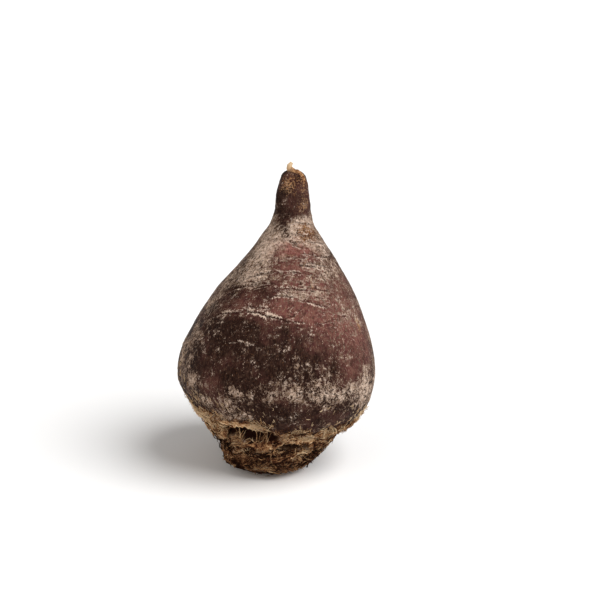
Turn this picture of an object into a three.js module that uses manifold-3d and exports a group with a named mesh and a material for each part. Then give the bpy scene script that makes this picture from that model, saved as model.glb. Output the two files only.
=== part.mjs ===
// A topped beetroot: one grown root that stands on its trimmed crown, root end up.
//
// The root is a surface of revolution about its own axis, made uneven the way a real one is: its middle line
// wanders to the right as it rises, its sections are slightly lobed, the crown carries rings left by cut
// leaf stalks, and a shallow furrow runs up the front and the back where the side roots grow in two rows.
// The whole root leans back a little, and the crown is cut flat where it stands.
//
// Millimetres, +Z up, +X to the right and +Y to the back. The origin is on the cut face, under the crown.

import * as THREE from "three";
import { mergeVertices } from "three/addons/utils/BufferGeometryUtils.js";
import Module from "manifold-3d";

// ---- driving dimensions ----
const BELLY_RADIUS = 38; // half the greatest width
const LENGTH = 117; // from the cut crown to the end of the root tail
const LEAN_BACK = THREE.MathUtils.degToRad(9);
const CROWN_SHIFT_BACK = -4.5; // brings the middle of the cut face over the origin

// ---- fineness of the mesh ----
const SEGMENTS_ROUND = 60;
const CROWN_RINGS = 16;
const BODY_RINGS = 34;

// Half widths along the axis, as shares of the length and of the belly radius, from the crown to the tail.
// The first three points are below the cut and are trimmed away.
const CROWN_OUTLINE = [
  [-0.015, 0.04],
  [-0.013, 0.13],
  [-0.008, 0.23],
  [0, 0.315],
  [0.02, 0.405],
  [0.047, 0.472],
  [0.076, 0.522],
  [0.099, 0.566],
  [0.124, 0.634],
];
const BODY_OUTLINE = [
  [0.124, 0.634],
  [0.162, 0.742],
  [0.218, 0.882],
  [0.284, 0.974],
  [0.334, 0.992],
  [0.402, 0.955],
  [0.486, 0.85],
  [0.587, 0.685],
  [0.67, 0.502],
  [0.755, 0.315],
  [0.821, 0.198],
  [0.889, 0.163],
  [0.955, 0.128],
  [0.974, 0.085],
  [0.982, 0.046],
  [0.991, 0.03],
];

// Sideways place of the middle line, in millimetres, at shares of the length.
const MIDDLE_LINE = [
  [-0.034, 0.6],
  [0, 0.2],
  [0.03, -1],
  [0.084, 1],
  [0.162, 3.3],
  [0.223, 3],
  [0.304, 2],
  [0.425, 2.4],
  [0.557, 4.3],
  [0.689, 6.6],
  [0.851, 7.9],
  [0.952, 8.1],
  [0.977, 7.2],
  [0.995, 8.2],
];

// ---- surface detail ----
const LOBES = [
  { count: 2, depth: 0.012, turn: Math.PI / 2 },
  { count: 3, depth: 0.012, turn: Math.PI / 2 },
  { count: 5, depth: 0.005, turn: -Math.PI / 2 },
]; // waves round each section, as shares of its radius
const SCAR_RING_DEPTH = 0.45; // leaf-stalk rings on the crown
const SCAR_RING_SPACING = 3.4;
const SCAR_RINGS_END = 0.14 * LENGTH;
const FURROW_DEPTH = 0.7; // the two rows of side roots
const FURROW_HALF_ANGLE = 0.42;
const FURROW_MIDDLE = 0.63 * LENGTH;
const FURROW_HALF_HEIGHT = 0.2 * LENGTH;
const TALLEST_CUT_BLOCK = 20; // the block that trims the crown reaches this far down

const wasm = await Module();
wasm.setup();

// A smooth curve through points given as shares, in millimetres across and along the axis.
function outlineCurve(points) {
  return new THREE.SplineCurve(
    points.map(([along, across]) => new THREE.Vector2(across * BELLY_RADIUS, along * LENGTH)),
  );
}

// The half outline for the lathe, from the axis below the cut to the axis at the tip of the tail.
function halfOutline() {
  const crown = outlineCurve(CROWN_OUTLINE).getSpacedPoints(CROWN_RINGS);
  const body = outlineCurve(BODY_OUTLINE).getSpacedPoints(BODY_RINGS);
  const foot = new THREE.Vector2(0, crown[0].y);
  const tip = new THREE.Vector2(0, LENGTH);
  return [foot, ...crown, ...body.slice(1), tip];
}

// Sideways place of the middle line at a height, on a smooth curve through the listed places.
const middleLine = new THREE.CubicInterpolant(
  MIDDLE_LINE.map(([along]) => along * LENGTH),
  MIDDLE_LINE.map(([, place]) => place),
  1,
);

function middleAt(height) {
  return middleLine.evaluate(height)[0];
}

// How much a section's radius is scaled in a direction, by its lobes.
function lobeScale(angle) {
  return LOBES.reduce((sum, lobe) => sum + lobe.depth * Math.cos(lobe.count * angle + lobe.turn), 1);
}

// Height of the leaf-stalk rings: raised cosine ridges that die away above the crown.
function scarRing(height) {
  const fade = 1 - THREE.MathUtils.smoothstep(height, 0.5 * SCAR_RINGS_END, SCAR_RINGS_END);
  return SCAR_RING_DEPTH * fade * Math.cos((2 * Math.PI * height) / SCAR_RING_SPACING);
}

// Depth of the furrow: a bump in angle about the front and the back times a bump in height.
function furrow(angle, height) {
  const fromRow = Math.acos(Math.min(1, Math.abs(Math.sin(angle))));
  const across = Math.exp(-((fromRow / FURROW_HALF_ANGLE) ** 2));
  const along = Math.exp(-(((height - FURROW_MIDDLE) / FURROW_HALF_HEIGHT) ** 2));
  return FURROW_DEPTH * across * along;
}

// The uneven root about its own axis, before it is leaned and cut.
function rootGeometry() {
  const lathe = new THREE.LatheGeometry(halfOutline(), SEGMENTS_ROUND);
  lathe.rotateX(Math.PI / 2);
  const places = lathe.getAttribute("position");
  for (let i = 0; i < places.count; i += 1) {
    const height = places.getZ(i);
    const plainRadius = Math.hypot(places.getX(i), places.getY(i));
    const angle = Math.atan2(places.getY(i), places.getX(i));
    const relief = Math.min(1, plainRadius / (0.2 * BELLY_RADIUS)); // no relief at the closed ends
    const radius = plainRadius * lobeScale(angle) + relief * (scarRing(height) - furrow(angle, height));
    places.setXYZ(i, middleAt(height) + radius * Math.cos(angle), radius * Math.sin(angle), height);
  }
  return lathe;
}

// A closed three.js geometry as a manifold-3d solid.
function solidOf(geometry) {
  const bare = geometry.clone();
  bare.deleteAttribute("normal");
  bare.deleteAttribute("uv");
  const merged = mergeVertices(bare, 1e-3);
  return new wasm.Manifold(
    new wasm.Mesh({
      numProp: 3,
      vertProperties: merged.getAttribute("position").array,
      triVerts: new Uint32Array(merged.index.array),
    }),
  );
}

// A manifold-3d solid as a three.js geometry.
function geometryOf(solid) {
  const mesh = solid.getMesh();
  const geometry = new THREE.BufferGeometry();
  geometry.setAttribute("position", new THREE.BufferAttribute(mesh.vertProperties, mesh.numProp));
  geometry.setIndex(new THREE.BufferAttribute(mesh.triVerts, 1));
  geometry.computeVertexNormals();
  return geometry;
}

// The root leaned back, with everything below the ground plane trimmed off its crown.
function cutRootGeometry() {
  const root = rootGeometry();
  root.rotateX(-LEAN_BACK);
  root.translate(0, CROWN_SHIFT_BACK, 0);
  const block = new THREE.BoxGeometry(4 * BELLY_RADIUS, 4 * BELLY_RADIUS, TALLEST_CUT_BLOCK);
  block.translate(0, 0, -TALLEST_CUT_BLOCK / 2);
  return geometryOf(solidOf(root).subtract(solidOf(block)));
}

const skin = new THREE.MeshStandardMaterial({ color: 0x4a2a2c, roughness: 0.75, metalness: 0 });

const beetroot = new THREE.Mesh(cutRootGeometry(), skin);
beetroot.name = "beetroot";

const part = new THREE.Group();
part.add(beetroot);

export default part;
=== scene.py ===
import itertools
import math

import bpy
import numpy as np
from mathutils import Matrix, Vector


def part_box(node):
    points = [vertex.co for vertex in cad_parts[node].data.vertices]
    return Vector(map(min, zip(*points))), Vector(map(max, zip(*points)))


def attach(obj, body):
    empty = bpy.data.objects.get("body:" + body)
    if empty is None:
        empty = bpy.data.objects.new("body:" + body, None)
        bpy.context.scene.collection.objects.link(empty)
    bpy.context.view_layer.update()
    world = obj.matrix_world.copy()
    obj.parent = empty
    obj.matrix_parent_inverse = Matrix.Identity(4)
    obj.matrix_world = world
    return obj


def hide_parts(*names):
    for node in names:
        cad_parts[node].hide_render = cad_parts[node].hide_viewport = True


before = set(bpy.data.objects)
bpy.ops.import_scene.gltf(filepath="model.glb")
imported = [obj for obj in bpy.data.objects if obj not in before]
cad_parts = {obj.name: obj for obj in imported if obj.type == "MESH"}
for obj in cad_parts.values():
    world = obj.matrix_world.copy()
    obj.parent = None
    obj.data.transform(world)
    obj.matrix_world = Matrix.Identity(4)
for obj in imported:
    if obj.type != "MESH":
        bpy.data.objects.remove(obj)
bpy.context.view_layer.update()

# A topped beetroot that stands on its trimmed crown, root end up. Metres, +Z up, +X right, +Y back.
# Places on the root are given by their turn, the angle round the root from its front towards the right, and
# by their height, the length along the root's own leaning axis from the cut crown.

bl_info = {
    "name": "Beetroot",
    "version": (1, 0, 0),
    "blender": (4, 5, 0),
    "location": "View3D > Sidebar > Beetroot",
    "description": "Makes a topped beetroot around its solid, with its crown, root tail and a studio stage",
    "category": "Add Mesh",
}

BODY = "root"
NODE = "beetroot"
LOW, HIGH = (np.array(corner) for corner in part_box(NODE))
MM = 0.001

# ---- the plain root, as the solid has it ----
LENGTH = 1.0125 * (HIGH[2] - LOW[2])  # along the leaning axis
BELLY_RADIUS = 0.5035 * (HIGH[0] - LOW[0])
LEAN_BACK = math.radians(9)
CROWN_SHIFT_BACK = -0.0385 * LENGTH
# Heights and half widths, as shares of the length and of the belly radius, from under the cut crown upward.
CROWN_OUTLINE = [
    (-0.015, 0.04), (-0.013, 0.13), (-0.008, 0.23), (0, 0.315), (0.02, 0.405), (0.047, 0.472),
    (0.076, 0.522), (0.099, 0.566), (0.124, 0.634),
]
BODY_OUTLINE = [
    (0.124, 0.634), (0.162, 0.742), (0.218, 0.882), (0.284, 0.974), (0.334, 0.992), (0.402, 0.955),
    (0.486, 0.85), (0.587, 0.685), (0.67, 0.502), (0.755, 0.315), (0.821, 0.198), (0.889, 0.163),
    (0.945, 0.135), (0.967, 0.1), (0.977, 0.05),
]
NECK_END = 0.979
# Sideways place of the middle line, in millimetres, at shares of the length.
MIDDLE_LINE = [
    (-0.034, 0.6), (0, 0.2), (0.03, -1), (0.084, 1), (0.162, 3.3), (0.223, 3), (0.304, 2), (0.425, 2.4),
    (0.557, 4.3), (0.689, 6.6), (0.851, 7.9), (0.952, 8.1), (0.977, 7.9), (0.995, 8.2),
]
FINE_STEPS = 4000


def smooth_step(value, start, end):
    """0 before start and 1 after end, with the curve 3t^2 - 2t^3 between them."""
    t = np.clip((value - start) / (end - start), 0, 1)
    return t * t * (3 - 2 * t)


def smooth_curve(points, count=FINE_STEPS):
    """A smooth curve through points, at count places an even length apart.

    Between two points it is the cubic that meets both and whose slope at each is half the step between that
    point's neighbours.
    """
    points = np.asarray(points, float)
    padded = np.vstack([points[:1], points, points[-1:]])
    step = np.linspace(0, len(points) - 1, FINE_STEPS)
    index = np.minimum(step.astype(int), len(points) - 2)
    t = (step - index)[:, None]
    before, start, end, after = (padded[index + k] for k in range(4))
    square = 2 * before - 5 * start + 4 * end - after
    cube = 3 * (start - end) + after - before
    curve = start + 0.5 * t * (end - before + t * (square + t * cube))
    along = np.concatenate([[0], np.cumsum(np.linalg.norm(np.diff(curve, axis=0), axis=1))])
    even = np.linspace(0, along[-1], count)
    return np.stack([np.interp(even, along, curve[:, k]) for k in range(points.shape[1])], axis=1)


def plain_outline():
    """(length along, height, radius) of the outline, from the axis under the crown to the axis at the end."""
    scale = np.array([LENGTH, BELLY_RADIUS])
    crown, body = smooth_curve(CROWN_OUTLINE) * scale, smooth_curve(BODY_OUTLINE) * scale
    foot, end = [crown[0, 0], 0], [NECK_END * LENGTH, 0]
    line = np.vstack([[foot], crown, body[1:], [end]])
    along = np.concatenate([[0], np.cumsum(np.linalg.norm(np.diff(line, axis=0), axis=1))])
    return along, line[:, 0], line[:, 1]


ALONG, HEIGHTS, RADII = plain_outline()
MIDDLE = smooth_curve(np.array(MIDDLE_LINE) * [LENGTH, MM])


def outline_radius(height):
    """The plain outline's radius at that height."""
    return np.interp(height, HEIGHTS, RADII)


# ---- noise ----
LATTICE_SIZE = 4096


def lattice_noise(points, seed):
    """Random numbers on the corners of a unit lattice, from -1 to 1, blended across each cell.

    The blend is the curve 6t^5 - 15t^4 + 10t^3 along each of the three directions.
    """
    random = np.random.default_rng(seed)
    shuffled, values = random.permutation(LATTICE_SIZE), random.uniform(-1, 1, LATTICE_SIZE)
    cell = np.floor(points).astype(np.int64)
    part = points - cell
    share = part**3 * (part * (6 * part - 15) + 10)
    total = np.zeros(points.shape[:-1])
    for corner in itertools.product((0, 1), repeat=3):
        x, y, z = np.moveaxis(cell + corner, -1, 0)
        pick = shuffled[(shuffled[(shuffled[x % LATTICE_SIZE] + y) % LATTICE_SIZE] + z) % LATTICE_SIZE]
        total += values[pick] * np.prod(np.where(corner, share, 1 - share), axis=-1)
    return total


def noise(points, size, seed, octaves=4, gain=0.5):
    """Lattice noise of that feature size, plus finer layers, each half the size and gain times the height."""
    layers = [gain**k * lattice_noise(points / (np.asarray(size) / 2**k), seed + k) for k in range(octaves)]
    return sum(layers) / sum(gain**k for k in range(octaves))


# ---- places on the root ----
LOBES = [(2, 0.012, 0), (3, -0.012, math.pi / 2), (5, -0.005, math.pi / 2)]
FURROW_DEPTH = 0.7 * MM
FURROW_HALF_ANGLE = 0.42
FURROW_MIDDLE = 0.63 * LENGTH
FURROW_HALF_HEIGHT = 0.2 * LENGTH
FULL_RELIEF_RADIUS = 0.2 * BELLY_RADIUS  # relief dies away where the root is thinner than this


def leaned_point(across, deep, height):
    """The point at those places across, behind and along the root's own axis, which leans back."""
    back = deep * math.cos(LEAN_BACK) + height * math.sin(LEAN_BACK) + CROWN_SHIFT_BACK
    up = height * math.cos(LEAN_BACK) - deep * math.sin(LEAN_BACK)
    return np.stack(np.broadcast_arrays(across, back, up), axis=-1)


def root_point(turn, height, radius):
    """The point at that turn, height and radius about the root's middle line."""
    across = np.interp(height, MIDDLE[:, 0], MIDDLE[:, 1]) + radius * np.sin(turn)
    return leaned_point(across, -radius * np.cos(turn), height)


def from_row(turn):
    """The angle from that turn to the nearer row of side roots, at the front or the back."""
    return np.arccos(np.clip(np.abs(np.cos(turn)), 0, 1))


def plain_radius(turn, height, radius):
    """The outline's radius with lobes, sine waves round the section, and the front and back furrows."""
    lobes = 1 + sum(depth * np.sin(count * turn + shift) for count, depth, shift in LOBES)
    across = np.exp(-((from_row(turn) / FURROW_HALF_ANGLE) ** 2))
    along = np.exp(-(((height - FURROW_MIDDLE) / FURROW_HALF_HEIGHT) ** 2))
    return radius * lobes - FURROW_DEPTH * across * along * np.minimum(1, radius / FULL_RELIEF_RADIUS)


def on_root(turn, height, lift):
    """The point on the plain root at that turn and height, raised by lift along the outward direction."""
    radius = outline_radius(height)
    step = 0.5 * MM
    slope = (outline_radius(height + step) - radius) / step
    outward = lift / np.hypot(1, slope)
    return root_point(turn, height - slope * outward, plain_radius(turn, height, radius) + outward)


RING_ARCH = 3.5 * MM
ARCH_START = 45 * MM, 62 * MM


def wrap_place(turn, height):
    """A point on a straight cylinder of the belly's radius, so that a pattern on it follows the skin.

    Its level is the length along the outline. On the shoulder it is lowered by a cosine of twice the turn, so
    that rings in the pattern arch over the front and the back.
    """
    arch = RING_ARCH * np.cos(2 * turn) * smooth_step(height, *ARCH_START)
    level = np.interp(height, HEIGHTS, ALONG) - arch
    across, deep = BELLY_RADIUS * np.sin(turn), -BELLY_RADIUS * np.cos(turn)
    return np.stack(np.broadcast_arrays(across, deep, level), axis=-1)


def turn_between(turn, centre):
    """The signed angle from centre to turn, in radians, the short way round."""
    return (turn - centre + math.pi) % (2 * math.pi) - math.pi


# ---- where the skin differs ----
# Blots: turn in degrees, height in millimetres, half width and half height in millimetres, and strength.
SCURF_BLOTS = [
    (-34, 86, 12, 9, 0.2), (36, 86, 9, 9, 0.35), (24, 94.5, 6, 2.6, 0.6), (30, 89, 10, 3, 0.35),
    (-50, 84, 5, 11, 0.2), (-72, 72, 16, 14, 0.3), (-76, 50, 12, 12, 0.34), (-84, 40, 7, 12, 0.3),
    (14, 37, 16, 3.4, 0.42), (40, 36.5, 8, 3, 0.3), (60, 34, 8, 6, 0.5), (80, 44, 7, 16, 0.4),
    (-26, 37.5, 6, 2.4, 0.35), (-55, 38.5, 3.6, 4, 0.75), (-38, 29.5, 12, 4.5, 0.4), (-18, 27, 5, 2, 0.35),
    (-4, 36, 4, 2.4, 0.35), (6, 71.5, 9, 1.4, 0.3), (2, 76, 14, 1.6, 0.3), (-8, 65.5, 12, 1.6, 0.25),
    (40, 70, 10, 6, 0.15), (52, 56, 8, 10, 0.22), (150, 34, 30, 5, 0.5), (200, 72, 22, 12, 0.35),
    (115, 60, 14, 14, 0.3), (250, 48, 18, 9, 0.3), (178, 90, 12, 8, 0.3),
]
CLEAN_BLOTS = [
    (-24, 104, 5, 5, 0.95), (40, 107, 4, 4, 0.3), (-23, 96, 2.6, 3.5, 0.6), (-17, 92, 1.6, 3, 0.4),
    (20, 84.2, 6, 2.4, 0.6), (-22, 109, 5, 5, 0.2), (0, 79, 8, 2.5, 0.3), (26, 102, 5, 4, 0.35),
    (26, 74, 8, 1.6, 0.3), (8, 87, 7, 3, 0.2), (-12, 50, 26, 11, 0.25), (10, 28, 18, 4.5, 0.4),
    (-38, 70, 9, 4, 0.5), (14, 66.5, 9, 2.2, 0.4), (-2, 58, 20, 4, 0.3), (16, 79, 6, 3, 0.25),
    (48, 44, 10, 6, 0.15), (135, 80, 10, 7, 0.4), (215, 55, 16, 10, 0.3), (95, 38, 10, 6, 0.25),
]
RUST_BLOTS = [
    (38, 91.6, 4.2, 3.2, 1.3), (-20, 110.5, 3, 3.5, 0.6), (60, 110, 4, 2, 0.5), (190, 98, 4, 5, 0.6),
]
TAN_BLOTS = [
    (33, 102, 2.8, 2.3, 0.78), (-26, 109.5, 3.0, 4.0, 0.85), (45, 108, 3, 4, 0.6), (185, 104, 5, 5, 0.7),
    (65, 57.5, 1.4, 3.2, 1.3),
]
PINK_BLOTS = [(6, 86.2, 7.5, 3.0, 1.0), (160, 86, 5, 3, 0.7)]
# Blush: redder skin, partly the root's own colour and partly painted light where the key light falls on the
# right shoulder.
BLUSH_AND_PAINTED_LIGHT_BLOTS = [
    (52, 54, 18, 15, 0.9), (36, 68, 18, 10, 0.8), (-26, 66, 18, 5, 0.7), (-42, 38, 8, 5, 0.3),
    (10, 80, 12, 8, 0.6), (14, 66, 9, 3, 0.6), (-4, 54, 18, 9, -0.22), (30, 102, 7, 14, 0.4),
    (170, 52, 26, 16, 0.7), (250, 66, 14, 8, 0.5),
]
# How much of the skin the scurf covers all round, at heights in millimetres.
SCURF_SHARES = [
    (22, 0.2), (30, 0.22), (37, 0.22), (44, 0.08), (54, 0.08), (64, 0.12), (72, 0.2), (80, 0.34),
    (90, 0.46), (98, 0.42), (100, 0.16), (112, 0.2),
]
# Dents in the crown: the same places and half sizes, and depth in millimetres.
DENTS = [
    (-31, 18.6, 9, 2.5, 4.2), (-13, 16.7, 5.2, 3.2, 4.2), (18, 13, 8, 1.9, 2.6), (-58, 12.5, 4.5, 2.6, 1.6),
    (75, 15, 7, 2, 2.2), (150, 17, 8, 2.2, 2.8), (215, 13, 7, 1.8, 2.0), (-100, 12, 6, 1.8, 1.8),
    (105, 9, 5, 1.3, 1.2), (-3, 8.6, 6, 0.9, 0.9), (38, 7.5, 5, 1.2, 1.0),
]
# Where the fibre is freshly torn and golden.
GOLD_BLOTS = [
    (-34, 24, 12, 2.2, 0.45), (-12, 22.8, 6, 1.6, 0.4), (-57, 21, 8, 6, 0.75), (-17, 13.4, 7, 1.1, 0.5),
    (-42, 14.5, 4, 2.2, 0.4), (34, 9, 5, 3.5, 0.5), (26, 17, 12, 3.4, 0.55), (60, 22, 9, 3, 0.35),
    (-78, 26, 8, 4, 0.4), (130, 24, 12, 4, 0.4), (200, 20, 9, 3, 0.4), (250, 22, 9, 3, 0.4),
]
COLOUR_BLOTS = {
    "gold": GOLD_BLOTS, "blush_and_painted_light": BLUSH_AND_PAINTED_LIGHT_BLOTS, "rust": RUST_BLOTS, "pink": PINK_BLOTS, "tan": TAN_BLOTS,
}
# Root scars: turn in degrees, height, half length, rise towards the right and bulge of the middle in
# millimetres, and depth as a share of the deepest.
ROOT_SCARS = [
    (-11, 63.9, 11, -2.2, 0.4, 1.0), (-20, 66.4, 6, -0.5, 0.6, 0.7), (14, 61.9, 3, -0.3, 0.3, 0.65),
    (-24, 53.3, 7.5, -0.3, 1.6, 0.6), (-30, 76.5, 9, 2.2, 1.4, 0.65), (-38, 72.6, 10, 2.6, 1.2, 0.65),
    (26, 67.9, 6, -1.8, 0.2, 0.7), (14, 77.5, 8, -0.9, 1.0, 0.65), (22, 91.6, 6, -0.7, -0.5, 0.75),
    (4, 88.7, 3, -0.8, 0.3, 0.7), (13, 87.3, 3, -0.9, 0.2, 0.7), (30, 80.0, 7, -1.2, 0.4, 0.7),
    (34, 84.0, 6, -1.4, 0.3, 0.6), (-4, 70.4, 6, 0.2, 0.5, 0.65), (6, 73.0, 6, -0.2, 0.4, 0.65),
    (36, 95.6, 7, -1.6, -0.4, 0.6), (50, 88.0, 6, -1.6, 0.2, 0.7), (44, 91.2, 6, -1.5, -0.3, 0.6),
    (-43, 63.5, 7, 1.6, 0.6, 0.75), (28, 60.6, 2.5, -0.6, 0.5, 0.7), (38, 80.5, 5, -1.4, 0.4, 0.8),
]
RANDOM_SCARS_A_ROW = 44
SCAR_HEIGHTS = 0.5 * LENGTH, 0.84 * LENGTH  # of the random ones
SCAR_REACH = 2.5 * MM
FIBRE_ROOM = 0.95 * MM
GROOVE_HALF_WIDTH = 0.3 * MM
LIP_PLACE = 0.62 * MM
LIP_HALF_WIDTH = 0.32 * MM
WRINKLE_HALF_WIDTH = 0.06  # in heights of the noise whose zeros the wrinkles follow
ROW_HALF_ANGLE = 0.95  # how far the wrinkles reach from the rows of side roots, in radians
KNOBBLE_HEIGHT = 0.16 * MM
NECK_LUMP_HEIGHT = 0.55 * MM
FOOT_HOLLOW = 0.9 * MM
# Where each part of the root starts or ends along its axis.
SHOULDER_START = 52 * MM, 66 * MM
SHOULDER_END = 94 * MM, 103 * MM
NECK_START = 86 * MM, 98 * MM
FOOT_END = -1.2 * MM, 0.2 * MM
CROWN_ROWS_END = 20 * MM, 30 * MM
SHOULDER_ROWS_START = 50 * MM, 60 * MM
SHOULDER_ROWS_END = 92 * MM, 104 * MM
RIDGES_START = -1 * MM, 3 * MM
FRINGE_BELOW, FRINGE_ABOVE = 4 * MM, 4.5 * MM
FRINGE_WANDER = 4.5 * MM
# Upper edge of the crown: turn in degrees and height in millimetres.
CROWN_EDGE = [
    (-180, 24), (-140, 21.5), (-100, 24), (-70, 27), (-52, 26.5), (-36, 24.2), (-20, 24.8), (-12, 23.4),
    (-4, 21), (14, 20.4), (28, 19), (37, 19), (48, 19.5), (66, 20), (100, 20), (140, 22.5), (180, 24),
]


def blots(turn, height, wobble, places, power=2):
    """Sum of soft ovals, each exp(-d^power) of the distance d over its half size, pushed about by wobble."""
    total = np.zeros(np.broadcast(turn, height).shape)
    radius = outline_radius(height)
    for centre, middle, half_width, half_height, strength in places:
        across = turn_between(turn, math.radians(centre)) * radius / (half_width * MM)
        upward = (height - middle * MM) / (half_height * MM)
        total += strength * np.exp(-(np.hypot(across + wobble[0], upward + wobble[1]) ** power))
    return total


def scar_list(random):
    """The listed root scars, and random ones in the front and back rows where side roots grow."""
    listed = [[math.radians(s[0]), *(v * MM for v in s[1:5]), s[5]] for s in ROOT_SCARS]
    for row in (0, math.pi):
        for _ in range(RANDOM_SCARS_A_ROW):
            height = random.uniform(*SCAR_HEIGHTS)
            spread = 0.5 if row else 0.75
            listed.append([
                row + random.normal(0, spread), height, random.uniform(1.5, 8) * MM,
                random.normal(0, 0.5) * MM, random.uniform(0, 0.9) * MM, 0.6 * random.uniform(0.2, 1) ** 1.5,
            ])
    return listed


def scar_lines(turn, height, wobble, scars):
    """(distance, strength): how far above the nearest scar's line a point is, and that scar's depth there.

    A scar's line rises evenly along it and bulges as a parabola. Its strength fades along it as exp(-x^4).
    The nearest scar is the one with the greatest strength times a wide bell of the distance.
    """
    distance, strength = np.full(turn.shape, SCAR_REACH), np.zeros(turn.shape)
    best = np.zeros(turn.shape)
    radius = outline_radius(height)
    for centre, middle, half_length, rise, bulge, depth in scars:
        near = np.abs(height - middle) < 2 * SCAR_REACH
        along = turn_between(turn[near], centre) * radius[near] / half_length
        line = middle + rise * along + bulge * (1 - along**2)
        upward = height[near] - line + 0.5 * MM * wobble[near]
        window = depth * np.exp(-(along**4))
        match = window * np.exp(-((upward / SCAR_REACH) ** 2))
        wins = match > best[near]
        best[near] = np.where(wins, match, best[near])
        distance[near] = np.where(wins, np.clip(upward, -SCAR_REACH, SCAR_REACH), distance[near])
        strength[near] = np.where(wins, window, strength[near])
    return distance, strength


def groove_shape(distance):
    """A bell about the scar's line."""
    return np.exp(-((distance / GROOVE_HALF_WIDTH) ** 2))


def lip_shape(distance):
    """Two bells, one each side of the groove."""
    return np.exp(-(((np.abs(distance) - LIP_PLACE) / LIP_HALF_WIDTH) ** 2))


def crown_edge(turn):
    """Height of the crown's upper edge at that turn, on straight lines between the listed places."""
    places = np.array(CROWN_EDGE)
    return MM * np.interp(np.degrees(turn_between(turn, 0)), places[:, 0], places[:, 1])


def crown_share(turn, height, wobble):
    """1 on the fibrous crown and 0 on the skin, across a wide fringe about the crown's edge."""
    edge = crown_edge(turn) + FRINGE_WANDER * wobble
    return 1 - smooth_step(height, edge - FRINGE_BELOW, edge + FRINGE_ABOVE)


# ---- pieces ----
def new_piece(name, points, faces, marks, material):
    """A mesh object from points and faces, with a number or vector a point for each mark, on the root."""
    mesh = bpy.data.meshes.new(name)
    mesh.from_pydata(points.reshape(-1, 3).tolist(), [], faces)
    for mark, values in marks.items():
        kind, field = ("FLOAT", "value") if values.ndim == 1 else ("FLOAT_VECTOR", "vector")
        mesh.attributes.new(mark, kind, "POINT").data.foreach_set(field, values.astype(np.float32).ravel())
    mesh.shade_smooth()
    mesh.materials.append(material)
    mesh.validate()
    piece = bpy.data.objects.new(name, mesh)
    bpy.context.scene.collection.objects.link(piece)
    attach(piece, BODY)
    return piece


def ring_quads(rows, sides, first=0):
    """Faces between neighbouring rings of points, each ring closed on itself."""
    low = first + np.arange(rows - 1)[:, None] * sides
    here, there = np.arange(sides), np.roll(np.arange(sides), -1)
    quads = np.stack([low + here, low + there, low + sides + there, low + sides + here], axis=-1)
    return quads.reshape(-1, 4)


def strand_mesh(centres, radii, sides):
    """(points, faces) of many strands, each a ring of points carried along its own centre line.

    centres has one row of points a strand and radii one radius a point. A ring lies across the line's
    direction, which is the step between the neighbouring centres, and each end is closed by one face.
    """
    count, rows, _ = centres.shape
    direction = np.gradient(centres, axis=1)
    direction /= np.maximum(np.linalg.norm(direction, axis=-1, keepdims=True), 1e-9)
    helper = np.where(np.abs(direction[..., 2:3]) > 0.9, [1.0, 0, 0], [0, 0, 1.0])
    side = np.cross(direction, helper)
    side /= np.linalg.norm(side, axis=-1, keepdims=True)
    other = np.cross(direction, side)
    angle = np.arange(sides) * 2 * math.pi / sides
    ring = side[:, :, None] * np.cos(angle)[:, None] + other[:, :, None] * np.sin(angle)[:, None]
    points = centres[:, :, None] + ring * radii[:, :, None, None]
    size = rows * sides
    starts = np.arange(count) * size
    quads = (starts[:, None, None] + ring_quads(rows, sides)).reshape(-1, 4)
    first_caps = starts[:, None] + np.arange(sides)[::-1]
    last_caps = starts[:, None] + size - sides + np.arange(sides)
    return points, quads.tolist() + first_caps.tolist() + last_caps.tolist()


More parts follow.
